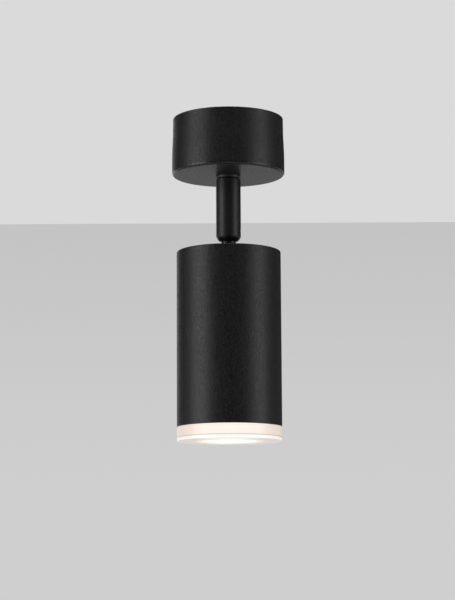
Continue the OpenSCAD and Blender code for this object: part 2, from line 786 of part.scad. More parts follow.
// Lamp holder: a ceramic base with a pocket for each pin's head, and a cover that the heads hang behind
module lamp_holder() {
    color("ivory") difference() {
        bar_z(face_z, holder_top_z, holder_r);
        both_pins() {
            arc_slot(face_z - 1, face_z + cavity_h, pin_head_r + free_gap);
            translate([pin_pitch / 2, 0, 0]) bar_z(holder_top_z - 4, holder_top_z + 1, lead_d / 2 + seat_gap);
        }
        both_sides() translate([holder_screw_x, 0, 0]) bar_z(face_z - 1, holder_top_z + 1, holder_screw_r + 2 * seat_gap);
    }
}

module holder_cover() {
    head_room_r = holder_head_r + 2 * seat_gap;
    color("ivory") difference() {
        bar_z(holder_z, face_z, holder_r);
        both_pins() {
            arc_slot(holder_z - 1, face_z + 1, pin_neck_r + free_gap);
            rotate([0, 0, twist]) translate([pin_pitch / 2, 0, 0]) bar_z(holder_z - 1, face_z + 1, pin_head_r + free_gap);
        }
        both_sides() translate([holder_screw_x, 0, 0]) {
            bar_z(holder_z - 1, face_z + 1, holder_screw_r + 2 * seat_gap);
            bar_z(holder_z - 1, holder_z + screw_sink, head_room_r);
        }
    }
}

module holder_screws() {
    head_z0 = holder_z + screw_sink;
    color("silver") both_sides() translate([holder_screw_x, 0, 0]) difference() {
        union() {
            bar_z(head_z0 - holder_head_h, head_z0, holder_head_r);
            bar_z(head_z0 - eps, holder_top_z + bridge_t + 1.5, holder_screw_r);
        }
        block_z(2 * holder_head_r + 1, 0.7, head_z0 - holder_head_h - 1, head_z0 - holder_head_h + 0.7);
    }
}

// Leads in the head: down the knuckle's channel, through the neck, and round to the holder's top
module head_leads() {
    color("white") for (s = [-1, 1]) {
        x0 = s * lead_x * 0.85;
        front_y = -channel_y - lead_d / 2 - 0.2;
        top = [x0, front_y, pivot_z + barrel_r];
        turn_top = [x0, front_y, neck_top_z + 1.2];
        turn_end = [x0, 0, neck_top_z - 2];
        elbow = bend([turn_top, turn_top - [0, 0, 1.4], turn_end + [0, 0, 1], turn_end], 6);
        out = [x0, 0, neck_end_z];
        home = [0, s * pin_pitch / 2, holder_top_z - 3];
        loop = bend([out, out - [0, 0, 9], [0, s * pin_pitch / 2, holder_top_z + 8], home + [0, 0, 3]], 10);
        lead(concat([top], elbow, loop, [home]), lead_d / 2);
    }
}

// Lamp: a reflector cup on a round base
module lamp_body() {
    cup_top = lamp_base_z - lamp_base_h;
    cup_low = lamp_z + lamp_rim_h;
    neck_w = lamp_base_r + 1.5;
    cup = [for (i = [0:lamp_steps]) let (a = 90 * i / lamp_steps)
        [neck_w + (lamp_r - neck_w) * cos(a), cup_low + (cup_top - cup_low) * sin(a)]];
    color("gainsboro") rotate_extrude() polygon(concat(
        [[0, lamp_z + lens_inset + lens_t], [lens_r + seat_gap, lamp_z + lens_inset + lens_t],
        [lens_r + seat_gap, lamp_z], [lamp_r, lamp_z]],
        cup, [[lamp_base_r, cup_top], [lamp_base_r, lamp_base_z - 0.5], [lamp_base_r - 0.5, lamp_base_z], [0, lamp_base_z]]));
}

module lamp_pins() {
    color("silver") for (s = [-1, 1]) translate([0, s * pin_pitch / 2, 0]) {
        bar_z(lamp_base_z, pin_head_z + eps, pin_neck_r);
        bar_z(pin_head_z, pin_head_z + pin_head_h, pin_head_r);
    }
}

module lamp_lens() {
    color("lightyellow") bar_z(lamp_z + lens_inset, lamp_z + lens_inset + lens_t, lens_r);
}

// Front ring: a visible band with a lower flange, and a spigot with a seal groove
module front_ring() {
    groove_low = seal_z - seal_r - seat_gap;
    groove_high = seal_z + seal_r + seat_gap;
    spigot_top = head_z + ring_spigot_h;
    color("#fff2e0") rotate_extrude() polygon([
        [ring_hollow_r, spigot_top], [ring_spigot_r, spigot_top], [ring_spigot_r, groove_high],
        [seal_groove_r, groove_high], [seal_groove_r, groove_low], [ring_spigot_r, groove_low],
        [ring_spigot_r, ring_top_z], [ring_r, ring_top_z], [ring_r, ring_z + ring_edge], [ring_r - ring_edge, ring_z],
        [ring_hole_r, ring_z], [ring_hole_r, ring_z + ring_flange_t], [ring_hollow_r, ring_z + ring_flange_t]]);
}

module ring_seal() {
    color("#151515") translate([0, 0, seal_z]) rotate_extrude()
        translate([head_in_r - seal_r - seat_gap, 0]) circle(r = seal_r, $fn = 24);
}

ceiling_bracket();
canopy_cup();
canopy_screws();
earth_screw();
earth_tags();
earth_lead();
terminal_block();
terminal_sleeves();
terminal_screws();
block_screw();
canopy_leads();
nipple_nut();
lock_washer();
swivel_collar();
swivel_nut();
stem_tube();
swivel_bush();
stop_pin();
groove_washer();
disc_spring();
stem_leads();
tilt_screw();
tilt_washers();
tilt_knuckle();
head_housing();
knuckle_washer();
knuckle_nut();
lamp_bridge();
lamp_holder();
holder_cover();
holder_screws();
head_leads();
lamp_body();
lamp_pins();
lamp_lens();
front_ring();
ring_seal();
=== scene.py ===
"""Ceiling spotlight: the finish of a black canopy, a turning stem, a tilting tube head and a lit acrylic ring."""

import itertools
import json
import math

import bmesh
import bpy
import numpy as np
from mathutils import Matrix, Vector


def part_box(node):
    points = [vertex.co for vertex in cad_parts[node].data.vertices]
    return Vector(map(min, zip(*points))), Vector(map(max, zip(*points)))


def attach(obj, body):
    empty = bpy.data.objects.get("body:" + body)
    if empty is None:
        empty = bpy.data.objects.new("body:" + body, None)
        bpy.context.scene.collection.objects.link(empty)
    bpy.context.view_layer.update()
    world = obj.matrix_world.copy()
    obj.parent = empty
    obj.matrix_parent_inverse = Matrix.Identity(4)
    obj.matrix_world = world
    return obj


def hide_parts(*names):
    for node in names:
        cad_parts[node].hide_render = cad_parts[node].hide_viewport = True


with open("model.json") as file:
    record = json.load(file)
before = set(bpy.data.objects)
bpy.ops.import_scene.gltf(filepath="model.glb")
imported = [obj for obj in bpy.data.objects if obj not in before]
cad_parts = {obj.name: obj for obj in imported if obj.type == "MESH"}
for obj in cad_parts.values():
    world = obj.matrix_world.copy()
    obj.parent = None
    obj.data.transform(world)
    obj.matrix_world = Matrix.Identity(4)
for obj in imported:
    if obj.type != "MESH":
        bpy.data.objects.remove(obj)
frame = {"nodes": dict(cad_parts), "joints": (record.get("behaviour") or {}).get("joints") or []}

bl_info = {
    "name": "Ceiling Spotlight",
    "version": (1, 0, 0),
    "blender": (4, 5, 0),
    "location": "3D View > Sidebar > Spotlight",
    "description": "Builds the shown surfaces of a ceiling spotlight around its frame",
    "category": "Add Mesh",
}

MM = 0.001
SEGMENTS, FINE_SEGMENTS = 192, 256
MERGE = 1e-7

# The lens's domes: width of a ring of them in metres, and half their number in each ring
LENS_RING, LENS_DOMES = 2.5 * MM, 16

# Sockets of the hexagon-socket screws, across flats, and the tilt screw: radii of its head and shank, depth of its
# seat, the wall that its blind hole leaves, and the play round it
SOCKET = 2 * MM
TILT_HEAD, TILT_SHANK, TILT_SEAT, TILT_WALL, TILT_PLAY = 2.5 * MM, 1.5 * MM, 1.55 * MM, 0.7 * MM, 0.05 * MM

# The room, in metres, and its lamps: degrees to the right of the camera's side, distance, height, width and length
ROOM, WALL_Y, FLOOR_Z, CEILING_Z = 6.0, 0.3176, -1.3, 0.0002
WALL_TONES = (-0.22, 0.06)
LAMPS = {
    "key": (-67, 1.1, -0.15, 0.74, 1.3),
    "fill": (69, 1.1, -0.15, 0.64, 1.3),
    "back": (-158, 1.1, 0.1, 0.5, 1.3),
    "top": (180, 0.01, 1.4, 0.35, 0.35),
}


def span(node):
    """The lowest and highest corner of a node at rest, as two arrays in metres."""
    low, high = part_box(node)
    return np.array(low), np.array(high)


CANOPY_LOW, CANOPY_HIGH = span("canopy_cup")
COLLAR_LOW, COLLAR_HIGH = span("swivel_collar")
WASHER_LOW, WASHER_HIGH = span("groove_washer")
STEM_LOW, STEM_HIGH = span("stem_tube")
HEAD_LOW, HEAD_HIGH = span("head_housing")
RING_LOW, RING_HIGH = span("front_ring")
LAMP_LOW, LAMP_HIGH = span("lamp_body")
LENS_LOW, LENS_HIGH = span("lamp_lens")
PIVOT_Z = next(j for j in frame["joints"] if j["name"] == "head_tilt")["pos_m"][2]


# Profiles


def arc(centre, radius, start, stop, count=8):
    """Points on a circle about centre, from the angle start to stop in degrees."""
    turn = np.radians(np.linspace(start, stop, count + 1))
    return np.column_stack([centre[0] + radius * np.cos(turn), centre[1] + radius * np.sin(turn)])


def outline(*pieces):
    """One profile of (radius, height) points, from points and arcs in order."""
    return np.vstack([np.atleast_2d(p) for p in pieces])


def supported(points, closed, edge=0.12 * MM, longest=4 * MM):
    """A profile with extra points: close beside the ends of each long straight, and at most `longest` apart."""
    count = len(points)
    result = []
    for i in range(count if closed else count - 1):
        a, b = points[i], points[(i + 1) % count]
        length = np.hypot(*(b - a))
        stops = [0.0]
        if length > 5 * edge:
            inner = int(length // longest) + 1
            stops += list(np.linspace(edge / length, 1 - edge / length, inner + 1))
        result.append(a + np.outer(stops, b - a))
    if not closed:
        result.append(points[-1:])
    return np.vstack(result)


# Meshes


def linked(name, data):
    """A new object of this data, in the scene."""
    thing = bpy.data.objects.new(name, data)
    bpy.context.scene.collection.objects.link(thing)
    return thing


def from_arrays(name, vertices, faces, sharp):
    """A smooth-shaded mesh object, with edges sharper than `sharp` degrees kept crisp."""
    mesh = bpy.data.meshes.new(name)
    mesh.from_pydata(vertices.tolist(), [], faces.tolist())
    piece = linked(name, mesh)
    tidy_mesh(piece, sharp)
    return piece


def put_in(name, vertices, faces, body, material, sharp=40):
    """A piece from arrays, with its material, riding on a body."""
    piece = from_arrays(name, vertices, faces, sharp)
    piece.data.materials.append(material)
    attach(piece, body)
    return piece


def tidy_mesh(piece, sharp, is_new=True):
    """Merges doubled vertices and shades the faces smooth. A new mesh also loses empty faces, and the rest turn
    outwards."""
    work = bmesh.new()
    work.from_mesh(piece.data)
    bmesh.ops.remove_doubles(work, verts=work.verts, dist=MERGE)
    if is_new:
        bmesh.ops.dissolve_degenerate(work, edges=work.edges, dist=0.1 * MERGE)
        bmesh.ops.recalc_face_normals(work, faces=work.faces)
    work.to_mesh(piece.data)
    work.free()
    piece.data.shade_smooth()
    piece.data.set_sharp_from_angle(angle=math.radians(sharp))


def grid_faces(rows, columns, wrap_rows, wrap_columns):
    """Quads of a grid of rows by columns of points, joined round where it wraps."""
    i = np.arange(rows if wrap_rows else rows - 1)[:, None]
    k = np.arange(columns if wrap_columns else columns - 1)[None, :]
    down, across = (i + 1) % rows, (k + 1) % columns
    corners = [i * columns + k, i * columns + across, down * columns + across, down * columns + k]
    return np.stack(corners, -1).reshape(-1, 4)


def turned(points, closed=True, segments=SEGMENTS):
    """A profile turned about Z: x = r cos t, y = r sin t, z = h, with t along one side of the grid."""
    points = supported(np.asarray(points), closed)
    turn = np.linspace(0, 2 * np.pi, segments, endpoint=False)
    radius, height = points[:, :1], points[:, 1:]
    vertices = np.stack([radius * np.cos(turn), radius * np.sin(turn), height + 0 * turn], -1)
    return vertices.reshape(-1, 3), grid_faces(len(points), segments, closed, True)


def joined(*parts):
    """Several (vertices, faces) pairs as one."""
    vertices, faces, start = [], [], 0
    for points, quads in parts:
        vertices.append(points)
        faces.append(np.asarray(quads) + start)
        start += len(points)
    return np.vstack(vertices), np.vstack(faces)


def along_x(vertices, centre, side=1):
    """Turns a shape made about Z so that its +Z points along +X or -X, and moves it to centre."""
    x, y, z = vertices.T
    return np.column_stack([side * z, side * y, x]) + np.asarray(centre)


def cut(piece, cutters, sharp=30):
    """Takes closed shapes, each a (vertices, faces) pair, out of a piece."""
    for vertices, faces in cutters:
        cutter = from_arrays("cutter", vertices, faces, sharp)
        step = piece.modifiers.new("cut", "BOOLEAN")
        step.operation, step.solver, step.object = "DIFFERENCE", "EXACT", cutter
        bpy.context.view_layer.update()
        evaluated = piece.evaluated_get(bpy.context.evaluated_depsgraph_get())
        result, old = bpy.data.meshes.new_from_object(evaluated), piece.data
        piece.modifiers.remove(step)
        piece.data = result
        bpy.data.meshes.remove(old)
        bpy.data.objects.remove(cutter)
    tidy_mesh(piece, sharp, is_new=False)


def rod(radius, low, high, segments=64):
    """A plain closed cylinder about Z, as a (vertices, faces) pair."""
    return turned([(0, low), (radius, low), (radius, high), (0, high)], closed=False, segments=segments)


def slab(low, high):
    """A closed block between two corners, as a (vertices, faces) pair."""
    corners = np.array(list(itertools.product(*zip(low, high))))
    faces = np.array([[0, 1, 3, 2], [4, 6, 7, 5], [0, 4, 5, 1], [2, 3, 7, 6], [0, 2, 6, 4], [1, 5, 7, 3]])
    return corners, faces


# Shader maths


class Sock:
    """A shader socket that adds its Math or Mix nodes when it is used in an expression."""

    def __init__(self, tree, socket):
        self.tree, self.socket = tree, socket

    def math(self, operation, *values):
        return self.tree.node("ShaderNodeMath", {"operation": operation}, dict(enumerate(values)))[0]

    def __add__(self, other):
        return self.math("ADD", self, other)

    def __radd__(self, other):
        return self.math("ADD", other, self)

    def __sub__(self, other):
        return self.math("SUBTRACT", self, other)

    def __rsub__(self, other):
        return self.math("SUBTRACT", other, self)

    def __mul__(self, other):
        return self.math("MULTIPLY", self, other)

    def __rmul__(self, other):
        return self.math("MULTIPLY", other, self)

    def root(self):
        return self.math("SQRT", self)

    def wave(self):
        return self.math("SINE", self)

    def ramp(self, low, high):
        """0 below low, 1 above high, and a soft step between."""
        settings = {"interpolation_type": "SMOOTHSTEP"}
        return self.tree.node("ShaderNodeMapRange", settings, {0: self, 1: low, 2: high, 3: 0.0, 4: 1.0})[0]


class Tree:
    """A node tree under construction."""

    def __init__(self, tree):
        self.nodes, self.links = tree.nodes, tree.links

    def node(self, kind, settings=None, values=None):
        """Adds a node, sets it up, fills its sockets, and returns its outputs by number or name."""
        node = self.nodes.new(kind)
        for key, value in (settings or {}).items():
            setattr(node, key, value)
        for key, value in (values or {}).items():
            self.feed(node.inputs[key], value)
        return Outputs(self, node)

    def feed(self, target, value):
        """Links a socket to the target, or sets the target to a constant."""
        if isinstance(value, Sock):
            self.links.new(value.socket, target)
        elif isinstance(value, (tuple, list)) and len(value) == 3 and target.type == "RGBA":
            target.default_value = (*value, 1.0)
        else:
            target.default_value = value

    def parts(self, vector):
        """The x, y and z of a vector socket."""
        split = self.node("ShaderNodeSeparateXYZ", values={0: vector})
        return split[0], split[1], split[2]

    def mix(self, factor, a, b):
        """Colour a where the factor is 0, and b where it is 1."""
        values = {"Factor": factor, 6: a, 7: b}
        return self.node("ShaderNodeMix", {"data_type": "RGBA"}, values)[2]

    def mix_shaders(self, factor, a, b):
        """The first output of node a where the factor is 0, and that of node b where it is 1."""
        return self.node("ShaderNodeMixShader", values={0: factor, 1: a[0], 2: b[0]})


class Finish(Tree):
    """A material under construction: one Principled shader, and the nodes that feed it."""

    def __init__(self, name, **constants):
        self.material = bpy.data.materials.new(name)
        self.material.use_nodes = True
        super().__init__(self.material.node_tree)
        self.shader = self.nodes["Principled BSDF"]
        self.set(**constants)

    def set(self, **values):
        """Sets or links sockets of the Principled shader, named with underscores for spaces."""
        for key, value in values.items():
            self.feed(self.shader.inputs[key.replace("_", " ")], value)
        return self

    def place(self):
        """The point on the piece, in metres, as a vector socket."""
        return self.node("ShaderNodeTexCoord")["Object"]

    def grain(self, size, detail=3.0, stretch=None):
        """Noise from 0 to 1 whose features are about `size` metres across."""
        vector = self.place()
        if stretch:
            vector = self.node("ShaderNodeMapping", values={"Vector": vector, "Scale": stretch})[0]
        values = {"Vector": vector, "Scale": 1.0 / size, "Detail": detail, "Roughness": 0.55}
        return self.node("ShaderNodeTexNoise", values=values)[0]

    def bump(self, height, depth):
        """A normal from a height of 0 to 1 times depth in metres."""
        values = {"Strength": 1.0, "Distance": depth, "Height": height}
        return self.node("ShaderNodeBump", values=values)["Normal"]


class Outputs:
    """A node's outputs, as sockets."""

    def __init__(self, tree, node):
        self.tree, self.node = tree, node

    def __getitem__(self, key):
        return Sock(self.tree, self.node.outputs[key])


def shade(colour, factor):
    """A colour times a number."""
    return tuple(c * factor for c in colour)


def satin_black(colour):
    """Satin powder coat: soft peel and pebbles in the bump, speckled tone and sheen. It is thinner, and so
    smoother, along the canopy's lower edge."""
    f = Finish("satin_black", Specular_IOR_Level=0.5)
    peel = f.grain(2.6 * MM, detail=2.0)
    pebble = f.grain(0.9 * MM, detail=2.0)
    speckle = f.grain(0.8 * MM, detail=1.0)
    cloud = f.grain(14 * MM, detail=2.0)
    height = f.parts(f.place())[2] - float(CANOPY_LOW[2])
    thin = line(height, 1.1 * MM, 1.0 * MM)
    sheen = 0.3 + cloud * 0.05 + pebble.ramp(0.3, 0.7) * 0.2 + peel * 0.04
    f.set(
        Base_Color=f.mix(speckle.ramp(0.34, 0.66), shade(colour, 0.1), shade(colour, 1.9)),
        Roughness=sheen * (1 - thin * 0.42),
        Normal=f.bump(peel * 0.5 + pebble * 0.5, 0.08 * MM),
    )
    return f.material


def bare_metal(name, colour, roughness=0.3, grain_size=0.25 * MM, stretch=(1, 1, 12)):
    """Machined or plated metal: drawn grain, uneven roughness."""
    f = Finish(name, Metallic=1.0)
    drawn = f.grain(grain_size, detail=2.0, stretch=stretch)
    cloud = f.grain(5 * MM, detail=3.0)
    f.set(
        Base_Color=f.mix(cloud, shade(colour, 0.86), shade(colour, 1.06)),
        Roughness=roughness + drawn * 0.12 + cloud * 0.06,
        Normal=f.bump(drawn, 0.01 * MM),
    )
    return f.material


def moulded(name, colour, roughness=0.45, size=0.3 * MM, depth=0.012 * MM):
    """Plastic, rubber or ceramic: fine surface grain and a faint change of tone."""
    f = Finish(name)
    fine = f.grain(size)
    cloud = f.grain(9 * MM)
    f.set(
        Base_Color=f.mix(cloud, shade(colour, 0.93), shade(colour, 1.04)),
        Roughness=roughness + fine * 0.1,
        Normal=f.bump(fine, depth),
    )
    return f.material


def line(height, middle, half):
    """1 at the middle of a thin line, 0 at half a width away, and soft between."""
    return height.ramp(middle - half, middle) * (1 - height.ramp(middle, middle + half))


def lit_acrylic(t):
    """Clear acrylic lit from inside. Outside: a warm band with a painted highlight along its top and painted shade
    towards its sides, the flange's upper face as a darker line, and a white flange. Below: white round the mouth
    and greyer outwards, with painted light that is brighter at the front."""
    f = Finish("lit_acrylic", Roughness=0.3, Specular_IOR_Level=0.0, Coat_Weight=0.6, Coat_Roughness=0.3,
               Emission_Strength=1.0)
    x, y, z = f.parts(f.place())
    radius = (x * x + y * y).root()
    height = z - float(RING_LOW[2])
    cloud = f.grain(9 * MM, detail=2.0)
    s = sizes()
    flange, top, mouth = s.ring_flange, s.ring_height, s.ring_mouth
    band = tuple(t.band)

    outside = f.mix(cloud, shade(band, 0.965), shade(band, 1.03))
    outside = f.mix(line(height, top - 0.55 * MM, 0.4 * MM), outside, shade(band, 0.93))
    # Painted highlight: the band's top edge is lighter.
    outside = f.mix(height.ramp(top - 0.3 * MM, top - 0.1 * MM), outside, shade(band, 1.08))
    # Painted shade: the band turns dimmer and warmer towards its left and right sides.
    outside = f.mix((x * x).ramp(0, (25 * MM) ** 2) * 0.48, outside, tuple(t.band_shaded_side))
    rim = f.mix(line(height, 0.55 * flange, 0.3 * flange) * 0.8, tuple(t.flange), shade(band, 0.98))
    outside = f.mix(height.ramp(flange - 0.2 * MM, flange), rim, outside)
    outside = f.mix(line(height, flange, 0.4 * MM), outside, tuple(t.seam))
    outside = f.mix(line(height, 0.4 * MM, 0.35 * MM) * 0.7, outside, tuple(t.edge))
    # Painted shade: the band darkens a little more towards its left and right sides.
    outside = f.mix((x * x).ramp(0, (29 * MM) ** 2) * 0.08, outside, (0.0, 0.0, 0.0))
    outside = f.mix(radius.ramp(s.ring_hollow, s.ring_hollow + 0.5 * MM), tuple(t.hollow), outside)

    glow = 1 - radius.ramp(mouth + 0.5 * MM, mouth + 7 * MM)
    # Painted light: the underside is brighter towards the front, in the middle.
    front = (1 - y.ramp(-27 * MM, -9 * MM)) * (1 - (x * x).ramp((6 * MM) ** 2, (22 * MM) ** 2))
    below = f.mix(front, f.mix(glow, tuple(t.underside), band), band)
    below = f.mix(1 - radius.ramp(mouth - 0.2 * MM, mouth + 0.9 * MM), below, (1.0, 1.0, 1.0))
    f.set(Base_Color=(0.12, 0.115, 0.11), Emission_Color=f.mix(height.ramp(0.03 * MM, 0.3 * MM), below, outside))
    return f.material


def lit_lens(t):
    """The lamp's front, lit: warm white, brighter at the middle of each dome."""
    f = Finish("lens_lit", Base_Color=(0.3, 0.29, 0.27), Roughness=0.2, Emission_Strength=1.0)
    x, y, _ = f.parts(f.place())
    radius, turn = (x * x + y * y).root(), y.math("ARCTAN2", y, x)
    dome = (radius * (math.pi / LENS_RING)).wave() * (turn * LENS_DOMES).wave()
    glow = (dome * dome).root() * radius.ramp(1.6 * MM, 2.4 * MM)
    f.set(Emission_Color=f.mix(glow.ramp(0.0, 0.6), tuple(t.lens_low), tuple(t.lens_high)))
    return f.material


# Settings


def length(name, description, default):
    """A length in metres that a user would change."""
    return bpy.props.FloatProperty(name=name, description=description, default=default, unit="LENGTH", precision=5)


def number(name, description, default):
    """A plain number that a user would change."""
    return bpy.props.FloatProperty(name=name, description=description, default=default)


def tone(name, description, default):
    """A colour that a user would change."""
    settings = {"name": name, "description": description, "default": default}
    return bpy.props.FloatVectorProperty(subtype="COLOR", min=0, max=1, **settings)


class SpotlightSizes(bpy.types.PropertyGroup):
    """Edges, walls and gaps that the frame's boxes do not give."""

    canopy_wall: length("Canopy wall", "Wall of the canopy's side", 1.5 * MM)
    canopy_floor: length("Canopy floor", "Thickness of the canopy's floor", 2.0 * MM)
    canopy_flare: length("Canopy flare", "How much wider the canopy is below, in radius", 0.6 * MM)
    flare_start: length("Flare start", "Depth at which the side starts to widen", 5.0 * MM)
    flare_end: length("Flare end", "Depth at which the side has widened", 24.0 * MM)
    canopy_edge: length("Canopy edge", "Radius of the canopy's lower edge", 1.6 * MM)
    side_screw_drop: length("Side screw depth", "Depth of the canopy screws under the ceiling", 7.0 * MM)
    countersink: length("Countersink", "Radius of a canopy screw's head", 3.0 * MM)
    screw_shank: length("Screw shank", "Radius of a canopy screw's thread", 1.5 * MM)
    collar_chamfer: length("Collar chamfer", "Width of the collar's lower chamfer", 0.3 * MM)
    collar_chamfer_h: length("Collar chamfer height", "Height of that chamfer", 1.0 * MM)
    nipple: length("Nipple", "Radius of the hollow nipple", 5.0 * MM)
    wire_bore: length("Wire bore", "Radius of the bore for the leads", 2.5 * MM)
    spigot: length("Spigot", "Radius of the spigot in the stem", 4.0 * MM)
    thread_pitch: length("Thread pitch", "Pitch of the nipple's thread", 1.0 * MM)
    stem_bore: length("Stem bore", "Radius of the stem's bore", 5.6 * MM)
    stem_end: length("Stem end", "Rounding of the stem's lower end", 4.2 * MM)
    neck_slot: length("Neck slot", "Half width of the slot for the neck", 4.55 * MM)
    pocket: length("Pocket", "Radius of the pocket round the barrel", 5.35 * MM)
    neck_thread: length("Neck thread", "Radius of the thread under the neck", 3.0 * MM)
    head_wall: length("Head wall", "Wall of the head's tube", 1.6 * MM)
    head_top: length("Head top", "Thickness of the head's top", 3.0 * MM)
    head_edge: length("Head edge", "Radius of the head's upper edge", 0.7 * MM)
    ring_height: length("Ring height", "Visible height of the ring", 8.1 * MM)
    ring_flange: length("Ring flange", "Thickness of the ring's lower flange", 2.1 * MM)
    ring_mouth: length("Ring mouth", "Radius of the ring's light opening", 15.0 * MM)
    ring_hollow: length("Ring hollow", "Radius of the hollow above the flange", 26.0 * MM)


class SpotlightTones(bpy.types.PropertyGroup):
    """Colours of the finishes."""

    coat: tone("Powder coat", "Satin black of the outer parts", (0.0048, 0.0048, 0.005))
    band: tone("Ring band", "Lit acrylic above the flange", (0.955, 0.885, 0.79))
    # Painted shade of the ring's band towards its sides
    band_shaded_side: tone("Ring band, sides", "Lit acrylic where the band turns away", (0.76, 0.575, 0.46))
    seam: tone("Ring seam", "Line where the flange's upper face shows", (0.48, 0.41, 0.36))
    flange: tone("Ring flange", "Lit acrylic at the flange", (1.0, 0.99, 0.96))
    edge: tone("Ring edge", "Bright line at the flange's lower edge", (1.0, 0.99, 0.95))
    hollow: tone("Ring hollow", "Lit acrylic on the inside", (1.0, 0.97, 0.92))
    underside: tone("Ring underside", "Lit acrylic seen from below", (0.67, 0.61, 0.57))
    lens_low: tone("Lens, low", "Lamp's front between the domes", (0.50, 0.44, 0.35))
    lens_high: tone("Lens, high", "Lamp's front at the middle of a dome", (0.98, 0.94, 0.86))
    wall: tone("Wall", "Backdrop behind the light, near the ceiling", (0.541, 0.541, 0.541))
    wall_low: tone("Lower wall", "Backdrop behind the light, further down", (0.622, 0.622, 0.622))
    ceiling: tone("Ceiling", "Surface that the light hangs from", (0.70, 0.70, 0.70))
    floor: tone("Floor", "Floor below the light", (0.72, 0.72, 0.72))


class SpotlightStudio(bpy.types.PropertyGroup):
    """Camera and lamps."""

    lens: number("Lens", "Focal length in millimetres", 112.1)
    camera: bpy.props.FloatVectorProperty(name="Camera", description="Place of the camera", subtype="TRANSLATION",
                                          default=(-0.0008, -1.062, -0.2668))
    pitch: number("Pitch", "How far the camera looks up, in degrees", 8.6)
    roll: number("Roll", "How far the camera leans, in degrees", 0.29)
    key: number("Key", "Power of the left soft box, in watts", 6.6)
    fill: number("Fill", "Power of the right soft box, in watts", 4.4)
    back: number("Back", "Power of the soft box behind, in watts", 1.6)
    top: number("Top", "Power of the soft box above, in watts", 14.0)
    room: number("Room", "Strength of the room's even light", 0.05)
    bounce: number("Bounce", "Strength of the light off the lower wall", 1.25)
    sky: number("Sky", "Strength of the light from high up", 0.5)


def sizes():
    """The scene's sizes."""
    return bpy.context.scene.spotlight_sizes


def tones():
    """The scene's tones."""
    return bpy.context.scene.spotlight_tones


# Pieces


def box_height(low, high):
    """The heights of a box's two corners."""
    return float(low[2]), float(high[2])


def canopy_radius(depth):
    """The canopy's outer radius at a depth: the upper radius plus the flare times 3 t^2 - 2 t^3."""
    s = sizes()
    t = np.clip((depth - s.flare_start) / (s.flare_end - s.flare_start), 0, 1)
    return float(CANOPY_HIGH[0]) - s.canopy_flare * (1 - t * t * (3 - 2 * t))


def canopy_profile():
    """Down the flared side, round the lower edge, in to the nipple's hole, and up inside."""
    s = sizes()
    low, high = box_height(CANOPY_LOW, CANOPY_HIGH)
    outer, floor_z = float(CANOPY_HIGH[0]), low + s.canopy_floor
    inner = outer - s.canopy_flare - s.canopy_wall
    depth = np.linspace(0, s.flare_end, 25)
    side = np.column_stack([canopy_radius(depth), high - depth])
    bevel, corner = 0.15 * MM, 1.2 * MM
    side[0] = (side[0, 0] - bevel, high)
    rim = [(side[0, 0] + bevel, high - bevel)]
    hole = s.nipple + 0.1 * MM
    return outline(side[:1], rim, side[1:],
                   arc((outer - s.canopy_edge, low + s.canopy_edge), s.canopy_edge, 0, -90, 10),
                   [(hole + 0.2 * MM, low), (hole, low + 0.2 * MM), (hole, floor_z)],
                   arc((inner - corner, floor_z + corner), corner, -90, 0, 6),
                   [(inner, high - bevel), (inner + bevel, high)])


def screw_profile(head, shank, long):
    """A countersunk screw about Z, its flat face at 0 and its point down."""
    bevel, point = 0.12 * MM, 0.4 * MM
    return outline([(0, 0), (head - bevel, 0), (head, -bevel), (shank, -(head - shank) - 0.1 * MM),
                    (shank, -long + point), (shank - point, -long), (0, -long)])


def hexagon(across, low, high):
    """A six-sided bar about Z as a (vertices, faces) pair."""
    return rod(across / math.sqrt(3), low, high, 6)


def collar_profile():
    """Down the nipple's thread, round the collar, down the spigot, and up the bore."""
    s = sizes()
    low, high = box_height(COLLAR_LOW, COLLAR_HIGH)
    top, under = float(CANOPY_LOW[2]), float(WASHER_HIGH[2]) + 0.1 * MM
    outer = float(COLLAR_HIGH[0])
    thread = np.arange(top + 0.8 * MM, high - 0.5 * MM, s.thread_pitch / 10)[::-1]
    thread_top, spigot_thread = low + 3.0 * MM, s.spigot - 0.5 * MM
    return outline([(s.wire_bore, high), (s.nipple - 0.6 * MM, high)],
                   np.column_stack([np.full(len(thread), s.nipple), thread]),
                   [(s.nipple, top), (outer - 0.1 * MM, top), (outer, top - 0.1 * MM),
                    (outer, under + s.collar_chamfer_h), (outer - s.collar_chamfer, under),
                    (s.spigot, under), (s.spigot, thread_top), (spigot_thread, thread_top),
                    (spigot_thread, low), (s.wire_bore, low)])


def threaded(vertices, radius, pitch, depth, low, high):
    """Cuts a thread: where r is the given radius, r falls by depth times |1 - 2 frac(z / pitch - t / 2 pi)|."""
    x, y, z = vertices.T
    r = np.hypot(x, y)
    phase = (z / pitch - np.arctan2(y, x) / (2 * np.pi)) % 1
    on = (np.abs(r - radius) < 0.001 * MM) & (z > low) & (z < high)
    scale = np.where(on, 1 - depth * np.abs(1 - 2 * phase) / radius, 1)
    return np.column_stack([x * scale, y * scale, z])


def stem_profile():
    """The stem's outside: flat top, small chamfer, straight side, rounded lower end."""
    s = sizes()
    low, high = box_height(STEM_LOW, STEM_HIGH)
    outer, chamfer = float(STEM_HIGH[0]), 0.3 * MM
    return outline([(0, high), (outer - chamfer, high), (outer, high - chamfer)],
                   arc((outer - s.stem_end, low + s.stem_end), s.stem_end, 0, -90, 16), [(0, low)])


def head_profile():
    """The head's tube with its closed top, from the neck's hole out, down and back up inside."""
    s = sizes()
    low, high = box_height(HEAD_LOW, HEAD_HIGH)
    outer, lip, bevel = float(HEAD_HIGH[0]), 0.25 * MM, 0.1 * MM
    inner, hole, ceiling = outer - s.head_wall, s.neck_thread + 0.05 * MM, high - s.head_top
    return outline([(hole, high)],
                   arc((outer - s.head_edge, high - s.head_edge), s.head_edge, 90, 0, 8),
                   arc((outer - lip, low + lip), lip, 0, -90, 4),
                   [(inner + bevel, low), (inner, low + bevel), (inner, ceiling), (hole, ceiling)])


